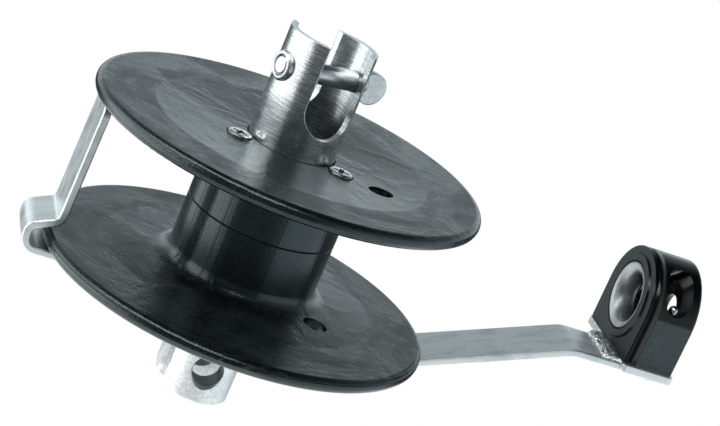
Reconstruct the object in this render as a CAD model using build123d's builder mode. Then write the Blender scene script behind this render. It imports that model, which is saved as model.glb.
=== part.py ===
from build123d import *

import os
from math import asin, cos, degrees, radians, sin

# Roller furler for a small boat's headsail, in millimetres.
# The stem hangs from the boat's bow fitting by its lower clevis bore, which is the origin.
# The drum turns about +Z on two rows of balls. The guard strap lies along X, with the fairlead at its +X end.

# Fits between pieces
seat = 0.05
running = 0.35
race_gap = 0.1

# Stem and spindle
clevis_bore_radius = 4.8
clevis_bevel = 1.1
stem_radius = 11.0
stem_foot = 11.1
stem_edge = 0.8
clevis_slot = 7.0
clevis_slot_top = 8.5
spindle_radius = 5.0
spindle_proud = 1.0

# Strap, bent from one flat bar
bar_width = 19.0
bar_thickness = 2.4
bar_edge = 0.35
strap_top = 22.1
arm_rise = 18.3
arm_slope_start = 0.1
arm_slope_run = 46.6
arm_end_run = 15.7
arm_bend_radius = 9.0
hook_gap = 5.0
hook_lift = 0.5
hook_slope_rise = 3.6
hook_radius = 3.9
guard_inset = 3.2
guard_lean = 1.3
guard_bend_radius = 2.9
guard_corner = 3.0
weld_width = 7.0
weld_height = 1.6

# Lock washer under the strap
washer_thickness = 1.6
tab_width = 6.0
tab_length = 27.3
tab_bend = 1.2

# Drum: one moulding used twice, the lower one turned over, with flanges that flare towards their rims
drum_clearance = 1.0
drum_height = 50.7
rim_radius = 60.0
flange_thickness = 4.35
flange_flare = 1.95
flange_round = 2.05
hub_radius = 23.0
hub_wall = 2.0
hub_fillet = 4.5
sleeve_wall = 1.8
rib_thickness = 1.6
rib_count = 6
seam_bevel = 0.3
line_hole_radius = 3.8
line_hole_circle = 30.8
line_hole_offset = 5.5

# Screws that clamp the drum to the collar
screw_count = 3
first_screw_angle = -42.0
screw_circle = 18.0
screw_radius = 1.75
screw_head_radius = 3.75
screw_head_height = 2.0
screw_head_round = 1.2
screw_recess = 0.6
boss_radius = 3.7
nut_flats = 7.0
nut_height = 2.4

# Rotor tube, its upper fork and the collar fixed round it
tube_radius = 13.4
tube_wall = 1.8
tube_top = 106.0
fork_slot = 16.0
fork_slot_foot = 79.4
fork_angle = 20.5
fork_corner = 2.5
collar_radius = 20.6
collar_thickness = 4.0

# Upper clevis pin and its bush
pin_height = 95.0
pin_radius = 3.175
pin_end_bevel = 0.8
thumb_radius = 5.0
thumb_drop = 1.0
thumb_thickness = 2.6
bush_flange_radius = 4.5
bush_radius = 3.9
bush_proud = 1.2

# Ball bearings
ball_radius = 1.75
ball_count = 9
pitch_radius = 8.2
lower_ball_height = 30.5
upper_ball_height = 55.4
race_lip = 0.6
race_length = 4.0
race_wall_radius = 8.3
bearing_shoulder = 0.5
cup_skirt = 3.0
cage_start = 1.0
cage_height = 1.6
cage_inner_radius = 8.8
cage_outer_radius = 10.4
inner_spacer_wall = 1.0
outer_spacer_wall = 1.9
circlip_thickness = 1.0
circlip_depth = 0.45
circlip_width = 1.7
circlip_gap = 6.0
circlip_eye_radius = 1.3
circlip_hole_radius = 0.6
seal_thickness = 1.2
spindle_washer_thickness = 1.6
spindle_nut_flats = 17.0
spindle_nut_height = 8.0
spindle_nut_bevel = 0.8

# Fairlead
plate_width = 18.2
plate_length = 36.5
plate_corner = 1.5
block_half_width = 17.4
block_axis_height = 15.0
block_axis_side = 9.8
block_front_gap = 0.2
block_edge = 1.3
cap_depth = 4.9
cap_face_radius = 13.6
cap_face_step = 0.7
back_wall = 2.4
ferrule_axis_height = 15.9
ferrule_rim_radius = 10.8
ferrule_rim_edge = 0.3
ferrule_radius = 9.9
ferrule_length = 8.0
ferrule_lip = 1.0
throat_radius = 7.6
tail_radius = 9.1
exit_radius = 4.6
exit_round = 1.6
window_width = 8.7
window_length = 16.0
window_angle = 50.0
window_forward = 1.3
bolt_radius = 1.5
bolt_spread = 14.0
bolt_top = 20.6
bolt_head_radius = 2.8
bolt_head_height = 1.5

# Heights up the stem and the drum
strap_bottom = strap_top - bar_thickness
strap_middle = strap_top - bar_thickness / 2
shoulder = strap_bottom - washer_thickness
drum_bottom = strap_top + drum_clearance
seam = drum_bottom + drum_height / 2
drum_top = drum_bottom + drum_height
rim_outside = drum_height / 2
face_outside = rim_outside - flange_flare
face_inside = face_outside - flange_thickness
tube_bottom = seam - face_outside

# Radii round the drum's axis
bore_radius = tube_radius - tube_wall
bearing_bore = bore_radius + bearing_shoulder
sleeve_bore = tube_radius + seat
sleeve_radius = sleeve_bore + sleeve_wall
hub_inside = hub_radius - hub_wall
groove_radius = ball_radius + race_gap

# Places of the screws
screw_angles = [first_screw_angle + 360 / screw_count * number for number in range(screw_count)]
screw_places = [Vector(screw_circle, 0).rotate(Axis.Z, angle) for angle in screw_angles]

# Stack of inner races on the spindle
upper_cone_top = upper_ball_height + race_length
nut_seat = upper_cone_top + spindle_washer_thickness
spindle_top = nut_seat + spindle_nut_height + spindle_proud

# Directions of the upper fork, which stands turned from the strap
pin_direction = Vector(cos(radians(fork_angle)), sin(radians(fork_angle)), 0)
slot_direction = Vector(sin(radians(fork_angle)), -cos(radians(fork_angle)), 0)
slot_plane = Plane(origin=(0, 0, 0), x_dir=pin_direction, z_dir=slot_direction)
pin_axis = Axis((0, 0, pin_height), pin_direction)
pin_plane = Plane(origin=(0, 0, pin_height), x_dir=(0, 0, 1), z_dir=pin_direction)

# Reaches and heights of the strap's bends round the drum
hook_reach = rim_radius + hook_gap
guard_reach = rim_radius - guard_inset
hook_top = drum_bottom + flange_thickness + hook_lift
guard_foot = hook_top + hook_slope_rise
guard_top = drum_top - flange_thickness - drum_clearance
arm_foot = rim_radius + arm_slope_start
arm_knee = arm_foot + arm_slope_run
arm_end = arm_knee + arm_end_run

# Places of the fairlead on the arm
arm_top = strap_top + arm_rise
arm_middle = arm_top - bar_thickness / 2
arm_bottom = arm_top - bar_thickness
plate_front = arm_end + bar_thickness / 3
plate_middle = plate_front + plate_width / 2
block_front = plate_front + block_front_gap
block_back = plate_front + plate_width
block_seam = block_front + cap_depth
ferrule_height = arm_top + ferrule_axis_height
window_middle = (block_seam + block_back) / 2 - window_forward
block_plane = Plane(origin=(0, block_axis_side, arm_top), x_dir=(0, 1, 0), z_dir=(1, 0, 0))
ferrule_plane = Plane(origin=(0, block_axis_side, ferrule_height), x_dir=(0, 1, 0), z_dir=(1, 0, 0))
bolt_sides = [block_axis_side - bolt_spread, block_axis_side + bolt_spread]

os.makedirs("parts", exist_ok=True)


def finish(piece, name):
    """Labels a finished piece and writes it under its name."""
    piece.part.label = name
    export_step(piece.part, f"parts/{name}.step")


def ring(inner, outer, bottom, top):
    """A plain ring about the drum's axis."""
    with BuildPart() as piece:
        with BuildSketch(Plane.XY.offset(bottom)):
            Circle(outer)
            Circle(inner, mode=Mode.SUBTRACT)
        extrude(amount=top - bottom)
    return piece


# Stem: lower clevis, shoulder and spindle
with BuildPart() as stem_fork:
    with BuildSketch(Plane.XY.offset(-stem_foot)):
        Circle(stem_radius)
    extrude(amount=stem_foot + shoulder)
    chamfer(stem_fork.edges(), stem_edge)
    with BuildSketch(Plane.XY.offset(shoulder)):
        Circle(spindle_radius)
    extrude(amount=spindle_top - shoulder)
    chamfer(stem_fork.edges().sort_by(Axis.Z)[-1], stem_edge)
    with BuildSketch(Plane.YZ):
        with Locations((0, clevis_slot_top - clevis_slot / 2)):
            Circle(clevis_slot / 2)
            Rectangle(clevis_slot, clevis_slot_top + stem_foot, align=(Align.CENTER, Align.MAX))
    extrude(amount=stem_radius, both=True, mode=Mode.SUBTRACT)
    with BuildSketch(Plane.XZ):
        Circle(clevis_bore_radius)
    extrude(amount=stem_radius, both=True, mode=Mode.SUBTRACT)
    for side in (-1, 1):
        with BuildSketch(Plane(origin=(0, side * stem_radius, 0), z_dir=(0, side, 0))):
            Circle(clevis_bore_radius + clevis_bevel)
        extrude(amount=-2 * clevis_bevel, taper=45, mode=Mode.SUBTRACT)
finish(stem_fork, "stem_fork")

# Lock washer: a flat ring with one tab folded down beside the clevis slot
tab_face = stem_radius + running
with BuildPart() as lock_washer:
    with BuildSketch(Plane.XY.offset(shoulder)):
        Circle(stem_radius)
        with Locations((-tab_face - washer_thickness, 0)):
            Rectangle(tab_face, tab_width, align=(Align.MIN, Align.CENTER))
        Circle(spindle_radius + seat, mode=Mode.SUBTRACT)
    extrude(amount=washer_thickness)
    with BuildSketch(Plane.YZ.offset(-tab_face)):
        with Locations((0, strap_bottom)):
            Rectangle(tab_width, tab_length, align=(Align.CENTER, Align.MAX))
    extrude(amount=-washer_thickness)
    fillet(lock_washer.edges().filter_by(Axis.X).group_by(Axis.Z)[0], tab_width / 2 - seat)
    fillet(lock_washer.edges().filter_by(Axis.Y).group_by(Axis.Z)[-1].sort_by(Axis.X)[0], tab_bend)
finish(lock_washer, "lock_washer")

# Strap: guard, hook round the lower rim, run under the drum, and arm
with BuildPart() as guard_strap:
    with BuildSketch(Plane.XZ.offset(-bar_width / 2)):
        with BuildLine():
            FilletPolyline(
                (guard_lean - guard_reach, guard_top),
                (-guard_reach, guard_foot),
                (-hook_reach, hook_top),
                (-hook_reach, strap_middle),
                (arm_foot, strap_middle),
                (arm_knee, arm_middle),
                (arm_end, arm_middle),
                radius=(guard_bend_radius, guard_bend_radius, hook_radius, arm_bend_radius, arm_bend_radius),
            )
        trace(line_width=bar_thickness)
    extrude(amount=bar_width)
    fillet(guard_strap.faces().sort_by(Axis.Z)[-1].edges().sort_by(SortBy.LENGTH)[:2], guard_corner)
    bar_sides = guard_strap.faces().filter_by(Axis.Y)
    chamfer(bar_sides.edges(), bar_edge)
    with BuildSketch(Plane.XY.offset(strap_top)):
        Circle(spindle_radius + seat)
    extrude(amount=-bar_thickness, mode=Mode.SUBTRACT)
finish(guard_strap, "guard_strap")

# Fairlead plate, laid across the arm's end and welded to it
with BuildPart() as fairlead_plate:
    with BuildSketch(Plane.XY.offset(arm_top)):
        with Locations((plate_middle, plate_length / 2 - bar_width / 2)):
            RectangleRounded(plate_width, plate_length, plate_corner)
        with Locations(*((window_middle, side) for side in bolt_sides)):
            Circle(bolt_radius + seat, mode=Mode.SUBTRACT)
    extrude(amount=-bar_thickness)
finish(fairlead_plate, "fairlead_plate")

# Weld bead over the joint
joint_middle = (arm_end + plate_front) / 2
with BuildPart() as weld_bead:
    with BuildSketch(Plane.XZ.offset(-bar_width / 2)):
        with BuildLine():
            bead_left = (joint_middle - weld_width, arm_top)
            bead_right = (joint_middle, arm_top)
            Line(bead_left, bead_right)
            ThreePointArc(bead_right, (joint_middle - weld_width / 2, arm_top + weld_height), bead_left)
        make_face()
        with Locations((joint_middle, arm_top)):
            Rectangle(plate_front - arm_end - 2 * seat, bar_thickness, align=(Align.CENTER, Align.MAX))
    extrude(amount=bar_width)
finish(weld_bead, "weld_bead")


def block_outline():
    """The fairlead block's arch, seen along the arm: straight sides under a half circle."""
    half = block_half_width
    with BuildSketch() as outline:
        with BuildLine():
            Polyline((-half, block_axis_height), (-half, 0), (half, 0), (half, block_axis_height))
            ThreePointArc((half, block_axis_height), (0, block_axis_height + half), (-half, block_axis_height))
        make_face()
    return outline.sketch


# Fairlead cap: the front of the block, with a raised face round the ferrule
with BuildPart() as fairlead_cap:
    with BuildSketch(block_plane.offset(block_front)):
        add(block_outline())
    extrude(amount=cap_depth)
    fillet(fairlead_cap.faces().sort_by(Axis.X)[0].edges(), block_edge)
    with BuildSketch(ferrule_plane.offset(block_front)):
        Circle(ferrule_radius + seat)
    extrude(amount=cap_depth, mode=Mode.SUBTRACT)
    with BuildSketch(ferrule_plane.offset(block_front)):
        Circle(ferrule_rim_radius + running)
    extrude(amount=ferrule_lip, mode=Mode.SUBTRACT)
    with BuildSketch(ferrule_plane.offset(block_front)):
        Circle(2 * block_half_width)
        Circle(cap_face_radius, mode=Mode.SUBTRACT)
    extrude(amount=cap_face_step, taper=30, mode=Mode.SUBTRACT)
finish(fairlead_cap, "fairlead_cap")

# Fairlead body: hollow behind the ferrule, with a window on each shoulder and an exit at the back
with BuildPart() as fairlead_body:
    with BuildSketch(block_plane.offset(block_seam)):
        add(block_outline())
    extrude(amount=block_back - block_seam)
    fillet(fairlead_body.faces().sort_by(Axis.X)[-1].edges().sort_by(Axis.Z)[1:], block_edge)
    with BuildSketch(ferrule_plane.offset(block_back)):
        Circle(exit_radius)
    extrude(amount=block_seam - block_back, mode=Mode.SUBTRACT)
    fillet(fairlead_body.faces().sort_by(Axis.X)[-1].inner_wires().edges(), exit_round)
    with BuildSketch(ferrule_plane.offset(block_seam)):
        Circle(ferrule_radius + seat)
    extrude(amount=block_back - block_seam - back_wall, mode=Mode.SUBTRACT)
    for turn in (-window_angle, window_angle):
        outward = Vector(0, -sin(radians(turn)), cos(radians(turn)))
        window_axis = Vector(window_middle, block_axis_side, arm_top + block_axis_height)
        with BuildSketch(Plane(window_axis, x_dir=(1, 0, 0), z_dir=outward).offset(ferrule_radius / 2)):
            SlotOverall(window_length, window_width, rotation=90)
        extrude(amount=block_half_width, mode=Mode.SUBTRACT)
    with BuildSketch(Plane.XY.offset(arm_top)):
        with Locations(*((window_middle, side) for side in bolt_sides)):
            Circle(bolt_radius + seat)
    extrude(amount=bolt_top, mode=Mode.SUBTRACT)
finish(fairlead_body, "fairlead_body")

# Ferrule: a polished bell mouth that narrows to a waist and opens again
ferrule_front = (block_front, block_axis_side, ferrule_height)
with BuildPart() as fairlead_ferrule:
    with BuildSketch(Plane(ferrule_front, x_dir=(1, 0, 0), z_dir=(0, -1, 0))):
        with BuildLine():
            mouth = (0, ferrule_rim_radius - ferrule_rim_edge)
            tail = (ferrule_length, tail_radius)
            Polyline(
                mouth,
                (0, ferrule_rim_radius),
                (ferrule_lip, ferrule_rim_radius),
                (ferrule_lip, ferrule_radius),
                (ferrule_length, ferrule_radius),
                tail,
            )
            Spline(tail, (ferrule_length / 2, throat_radius), mouth, tangents=((-0.3, -1), (-0.3, 1)))
        make_face()
    revolve(axis=Axis(ferrule_front, (1, 0, 0)))
finish(fairlead_ferrule, "fairlead_ferrule")

# Fairlead bolts, up through the plate and the block's legs to the window sills
with BuildPart() as fairlead_bolts:
    for side in bolt_sides:
        with BuildSketch(Plane(origin=(window_middle, side, arm_bottom), x_dir=(1, 0, 0), z_dir=(0, -1, 0))):
            with BuildLine():
                dome_foot = bar_thickness + bolt_top - bolt_radius
                Polyline(
                    (0, dome_foot + bolt_radius),
                    (0, -bolt_head_height),
                    (bolt_head_radius, -bolt_head_height / 2),
                    (bolt_head_radius, 0),
                    (bolt_radius, 0),
                    (bolt_radius, dome_foot),
                )
                RadiusArc((bolt_radius, dome_foot), (0, dome_foot + bolt_radius), -bolt_radius)
            make_face()
        revolve(axis=Axis((window_middle, side, 0), (0, 0, 1)))
finish(fairlead_bolts, "fairlead_bolts")


def drum_half(name, side):
    """One moulding, above the seam where side is 1: flange and half hub, with bosses and ribs inside."""
    line_hole_place = Vector(line_hole_circle, 0).rotate(Axis.Z, first_screw_angle + side * line_hole_offset)
    with BuildPart() as half:
        with BuildSketch(Plane(origin=(0, 0, seam), x_dir=(1, 0, 0), z_dir=(0, -side, 0))):
            with BuildLine():
                Polyline(
                    (sleeve_bore, collar_thickness / 2),
                    (sleeve_bore, face_outside),
                    (hub_radius, face_outside),
                    (rim_radius, rim_outside),
                    (rim_radius, rim_outside - flange_thickness),
                    (hub_radius, face_inside),
                    (hub_radius, seam_bevel),
                    (hub_radius - seam_bevel, 0),
                    (hub_inside, 0),
                    (hub_inside, face_inside),
                    (sleeve_radius, face_inside),
                    (sleeve_radius, collar_thickness / 2),
                    close=True,
                )
            section = make_face()
            fillet(section.vertices().group_by(Axis.X)[-1], flange_round)
        revolve(axis=Axis.Z)
        circles = half.edges().filter_by(GeomType.CIRCLE)
        hub_circles = circles.filter_by(lambda edge: abs(edge.radius - hub_radius) < seat)
        fillet(hub_circles.sort_by(Axis.Z)[-2 if side > 0 else 1], hub_fillet)
        with BuildSketch(Plane.XY.offset(seam + side * collar_thickness / 2)):
            with Locations(*screw_places):
                Circle(boss_radius)
            with PolarLocations((sleeve_radius + hub_inside) / 2, rib_count):
                Rectangle(hub_inside - sleeve_radius + sleeve_wall, rib_thickness)
        extrude(amount=side * (face_inside - collar_thickness / 2))
        with BuildSketch(Plane.XY.offset(seam)):
            with Locations(*screw_places):
                Circle(screw_radius + seat)
            with Locations(line_hole_place):
                Circle(line_hole_radius)
        extrude(amount=side * drum_height, mode=Mode.SUBTRACT)
        with BuildSketch(Plane.XY.offset(seam + side * face_outside)):
            with Locations(*screw_places):
                Circle(screw_head_radius + running)
        extrude(amount=-side * screw_recess, mode=Mode.SUBTRACT)
    finish(half, name)


drum_half("drum_upper_half", 1)
drum_half("drum_lower_half", -1)

# Screws and nuts that clamp the halves to the collar
screw_seat = seam + face_outside - screw_recess
nut_bottom = tube_bottom + screw_recess - nut_height
with BuildPart() as drum_screws:
    with BuildSketch(Plane.XY.offset(nut_bottom)):
        with Locations(*screw_places):
            Circle(screw_radius)
    extrude(amount=screw_seat - nut_bottom)
    with BuildSketch(Plane.XY.offset(screw_seat)):
        with Locations(*screw_places):
            Circle(screw_head_radius)
    extrude(amount=screw_head_height)
    fillet(drum_screws.edges().group_by(Axis.Z)[-1], screw_head_round)
finish(drum_screws, "drum_screws")

with BuildPart() as drum_nuts:
    with BuildSketch(Plane.XY.offset(nut_bottom)):
        with Locations(*screw_places):
            RegularPolygon(nut_flats / 2, 6, major_radius=False)
            Circle(screw_radius + seat, mode=Mode.SUBTRACT)
    extrude(amount=nut_height)
finish(drum_nuts, "drum_nuts")

# Rotor tube, open at the top as a fork for the luff wire's eye, and bored out below for the bearings
circlip_top = lower_ball_height - cup_skirt - seat
circlip_bottom = circlip_top - circlip_thickness
with BuildPart() as rotor_tube:
    with BuildSketch(Plane.XY.offset(tube_bottom)):
        Circle(tube_radius)
        Circle(bore_radius, mode=Mode.SUBTRACT)
    extrude(amount=tube_top - tube_bottom)
    with BuildSketch(slot_plane) as ears:
        with Locations((0, tube_bottom)):
            Rectangle(3 * tube_radius, tube_top - tube_bottom, align=(Align.CENTER, Align.MIN))
        with Locations((0, fork_slot_foot + fork_slot / 2)):
            Rectangle(fork_slot, tube_top, align=(Align.CENTER, Align.MIN), mode=Mode.SUBTRACT)
            Circle(fork_slot / 2, mode=Mode.SUBTRACT)
        fillet(ears.vertices().group_by(Axis.Z)[-1].sort_by(pin_axis)[1:3], fork_corner)
    extrude(amount=tube_radius, both=True, mode=Mode.INTERSECT)
    with BuildSketch(pin_plane):
        Circle(pin_radius + seat)
    extrude(amount=2 * tube_radius, mode=Mode.SUBTRACT)
    with BuildSketch(pin_plane):
        Circle(bush_radius + seat)
    extrude(amount=-2 * tube_radius, mode=Mode.SUBTRACT)
    with BuildSketch(Plane.XY.offset(tube_bottom)):
        Circle(bearing_bore)
    extrude(amount=upper_ball_height + race_lip + seat - tube_bottom, mode=Mode.SUBTRACT)
    with BuildSketch(Plane.XY.offset(circlip_bottom - seat)):
        Circle(bearing_bore + circlip_depth)
    extrude(amount=circlip_thickness + 2 * seat, mode=Mode.SUBTRACT)
finish(rotor_tube, "rotor_tube")

# Collar fixed round the tube at the seam, which the drum is clamped to
with BuildPart() as rotor_collar:
    with BuildSketch(Plane.XY.offset(seam - collar_thickness / 2)):
        Circle(collar_radius)
        Circle(tube_radius + seat, mode=Mode.SUBTRACT)
        with Locations(*screw_places):
            Circle(screw_radius + seat, mode=Mode.SUBTRACT)
    extrude(amount=collar_thickness)
finish(rotor_collar, "rotor_collar")

# Upper clevis pin with a flat thumb head
with BuildPart() as upper_clevis_pin:
    with BuildSketch(pin_plane.offset(-tube_radius - bush_proud)):
        Circle(pin_radius)
    extrude(amount=2 * tube_radius + bush_proud + thumb_radius / 2)
    chamfer(upper_clevis_pin.edges(), pin_end_bevel)
    with BuildSketch(slot_plane.offset(-thumb_thickness / 2)):
        with Locations((tube_radius + thumb_radius, pin_height - thumb_drop)):
            Circle(thumb_radius - seat)
    extrude(amount=thumb_thickness)
finish(upper_clevis_pin, "upper_clevis_pin")

# Bush that the pin screws into, riveted in the left ear
with BuildPart() as pin_bush:
    with BuildSketch(pin_plane.offset(-tube_radius - bush_proud)):
        Circle(bush_flange_radius)
    extrude(amount=tube_wall + bush_proud)
    chamfer(pin_bush.faces().sort_by(pin_axis)[0].edges(), bush_proud / 2)
    with BuildSketch(Plane.XY):
        Circle(tube_radius + seat / 2)
    extrude(amount=tube_top, mode=Mode.SUBTRACT)
    with BuildSketch(pin_plane.offset(-tube_radius - bush_proud / 2)):
        Circle(bush_radius)
    extrude(amount=tube_wall + bush_proud)
    with BuildSketch(pin_plane):
        Circle(pin_radius + seat / 2)
    extrude(amount=-2 * tube_radius, mode=Mode.SUBTRACT)
finish(pin_bush, "pin_bush")


def race(name, height, facing, corners):
    """A race turned from corners of (radius, distance past the balls), upwards where facing is 1."""
    with BuildPart() as piece:
        with BuildSketch(Plane.XZ):
            with BuildLine():
                Polyline(*((radius, height + facing * distance) for radius, distance in corners), close=True)
            make_face()
            with Locations((pitch_radius, height)):
                Circle(groove_radius, mode=Mode.SUBTRACT)
        revolve(axis=Axis.Z)
    finish(piece, name)


def cone_corners(length):
    """The inner race's section."""
    inner = spindle_radius + seat
    return (inner, -race_lip), (race_wall_radius, -race_lip), (race_wall_radius, length), (inner, length)


cup_radius = bearing_bore - seat
cup_corners = ((race_wall_radius, -race_length), (race_wall_radius, race_lip))
skirt_corners = ((cage_outer_radius + running, race_lip), (cage_outer_radius + running, cup_skirt))
race("upper_cone", upper_ball_height, 1, cone_corners(race_length))
race("lower_cone", lower_ball_height, -1, cone_corners(lower_ball_height - strap_top))
race("upper_cup", upper_ball_height, 1, (*cup_corners, (cup_radius, race_lip), (cup_radius, -race_length)))
race(
    "lower_cup",
    lower_ball_height,
    -1,
    (*cup_corners, *skirt_corners, (cup_radius, cup_skirt), (cup_radius, -race_length)),
)


def ball_row(end, height, facing):
    """One row of balls, and the cage that spaces them on the side of the cone."""
    with BuildPart() as balls:
        with Locations((0, 0, height)):
            with PolarLocations(pitch_radius, ball_count):
                Sphere(ball_radius)
    finish(balls, f"{end}_balls")
    with BuildPart() as cage:
        with BuildSketch(Plane.XY.offset(height + facing * cage_start)):
            Circle(cage_outer_radius)
            Circle(cage_inner_radius, mode=Mode.SUBTRACT)
        extrude(amount=facing * cage_height)
        with Locations((0, 0, height)):
            with PolarLocations(pitch_radius, ball_count):
                Sphere(groove_radius, mode=Mode.SUBTRACT)
    finish(cage, f"{end}_cage")


ball_row("upper", upper_ball_height, 1)
ball_row("lower", lower_ball_height, -1)

# Spacers that set the distance between the two bearings
inner_ends = (lower_ball_height + race_lip, upper_ball_height - race_lip)
inner_spacer = ring(spindle_radius + seat, spindle_radius + inner_spacer_wall, *inner_ends)
finish(inner_spacer, "inner_spacer")
outer_ends = (lower_ball_height + race_length, upper_ball_height - race_length)
outer_spacer = ring(bearing_bore - outer_spacer_wall, cup_radius, *outer_ends)
finish(outer_spacer, "outer_spacer")

# Circlip in the tube's groove, under the lower cup
circlip_radius = bearing_bore + circlip_depth - seat
circlip_inside = circlip_radius - circlip_width
eye_turn = degrees(asin((circlip_gap / 2 + circlip_eye_radius) / circlip_inside))
with BuildPart() as bearing_circlip:
    with BuildSketch(Plane.XY.offset(circlip_bottom)):
        Circle(circlip_radius)
        Circle(circlip_inside, mode=Mode.SUBTRACT)
        Rectangle(2 * circlip_radius, circlip_gap, align=(Align.MIN, Align.CENTER), mode=Mode.SUBTRACT)
        with PolarLocations(circlip_inside, 2, -eye_turn, 2 * eye_turn, endpoint=True):
            Circle(circlip_eye_radius)
            Circle(circlip_hole_radius, mode=Mode.SUBTRACT)
    extrude(amount=circlip_thickness)
finish(bearing_circlip, "bearing_circlip")

# Seal that keeps spray out of the lower bearing
seal_bottom = tube_bottom + seat
dust_seal = ring(race_wall_radius + running, cup_radius, seal_bottom, seal_bottom + seal_thickness)
finish(dust_seal, "dust_seal")

# Washer and nut that close the stack of inner races on the spindle
spindle_washer = ring(spindle_radius + seat, spindle_nut_flats / 2, upper_cone_top, nut_seat)
finish(spindle_washer, "spindle_washer")
nut_corner = spindle_nut_flats / 2 / cos(radians(30))
with BuildPart() as spindle_nut:
    with BuildSketch(Plane.XY.offset(nut_seat)):
        RegularPolygon(nut_corner, 6)
        Circle(spindle_radius + seat, mode=Mode.SUBTRACT)
    extrude(amount=spindle_nut_height)
    with BuildSketch(Plane(origin=(0, 0, nut_seat), x_dir=(1, 0, 0), z_dir=(0, -1, 0))):
        with BuildLine():
            Polyline(
                (0, 0),
                (nut_corner - spindle_nut_bevel, 0),
                (nut_corner, spindle_nut_bevel / 2),
                (nut_corner, spindle_nut_height - spindle_nut_bevel / 2),
                (nut_corner - spindle_nut_bevel, spindle_nut_height),
                (0, spindle_nut_height),
                close=True,
            )
        make_face()
    revolve(axis=Axis.Z, mode=Mode.INTERSECT)
finish(spindle_nut, "spindle_nut")
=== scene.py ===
"""Dresses the roller furler: its finishes, screws, bolts and weld, and the studio with its camera."""

import logging
import math
from collections.abc import Callable, Mapping
from dataclasses import dataclass
from enum import Enum
from typing import ClassVar

import bpy
from mathutils import Matrix, Vector


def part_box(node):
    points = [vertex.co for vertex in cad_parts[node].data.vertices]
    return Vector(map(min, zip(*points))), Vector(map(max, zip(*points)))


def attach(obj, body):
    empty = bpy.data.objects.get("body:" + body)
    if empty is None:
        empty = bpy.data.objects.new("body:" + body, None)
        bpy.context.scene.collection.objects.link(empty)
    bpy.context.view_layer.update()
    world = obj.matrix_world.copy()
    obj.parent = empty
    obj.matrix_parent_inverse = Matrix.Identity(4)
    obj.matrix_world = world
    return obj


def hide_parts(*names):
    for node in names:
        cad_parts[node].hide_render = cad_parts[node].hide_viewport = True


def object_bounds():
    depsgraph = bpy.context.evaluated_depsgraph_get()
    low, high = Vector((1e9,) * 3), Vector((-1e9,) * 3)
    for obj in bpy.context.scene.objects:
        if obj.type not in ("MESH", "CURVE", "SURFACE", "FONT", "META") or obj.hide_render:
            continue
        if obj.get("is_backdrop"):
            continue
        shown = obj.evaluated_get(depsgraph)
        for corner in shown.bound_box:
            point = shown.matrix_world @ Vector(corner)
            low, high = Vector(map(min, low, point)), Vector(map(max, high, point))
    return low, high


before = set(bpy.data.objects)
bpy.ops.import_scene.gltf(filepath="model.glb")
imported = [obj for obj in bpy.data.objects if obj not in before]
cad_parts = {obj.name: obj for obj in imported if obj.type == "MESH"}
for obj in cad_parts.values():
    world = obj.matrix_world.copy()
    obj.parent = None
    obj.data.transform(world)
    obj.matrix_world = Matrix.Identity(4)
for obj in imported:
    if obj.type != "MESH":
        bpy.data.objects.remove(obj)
log = logging.getLogger("roller_furler")

Socket = bpy.types.NodeSocket
Colour = tuple[float, float, float, float]
Triple = tuple[float, float, float]


class Body(Enum):
    """The rigid bodies that the added pieces ride on."""

    MOUNTING = "mounting"
    DRUM = "drum"


class Grain(Enum):
    """How fine a metal's pattern stays along X, Y and Z, by the way it was worked. Less draws it out."""

    TURNED = (0.06, 0.06, 1.0)
    DRAWN = (0.05, 1.0, 0.4)
    PLAIN = (1.0, 1.0, 1.0)


def lowest(node: str) -> Vector:
    """The lowest corner of a node's box."""
    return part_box(node)[0]


def highest(node: str) -> Vector:
    """The highest corner of a node's box."""
    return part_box(node)[1]


def middle(node: str) -> Vector:
    """The middle of a node's box."""
    return (lowest(node) + highest(node)) / 2


def looks_up(face: bpy.types.MeshPolygon) -> bool:
    """Whether a face looks upwards."""
    return face.normal.z > 0.9


def looks_down(face: bpy.types.MeshPolygon) -> bool:
    """Whether a face looks downwards."""
    return face.normal.z < -0.9


def grey(level: float, tint: float = 0.0) -> Colour:
    """A grey with a cool cast.

    Args:
        level: how light it is, in linear light.
        tint: how much cooler than neutral.

    Returns:
        The colour.
    """
    return (level * (1.0 - tint), level, level * (1.0 + 0.3 * tint), 1.0)


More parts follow.
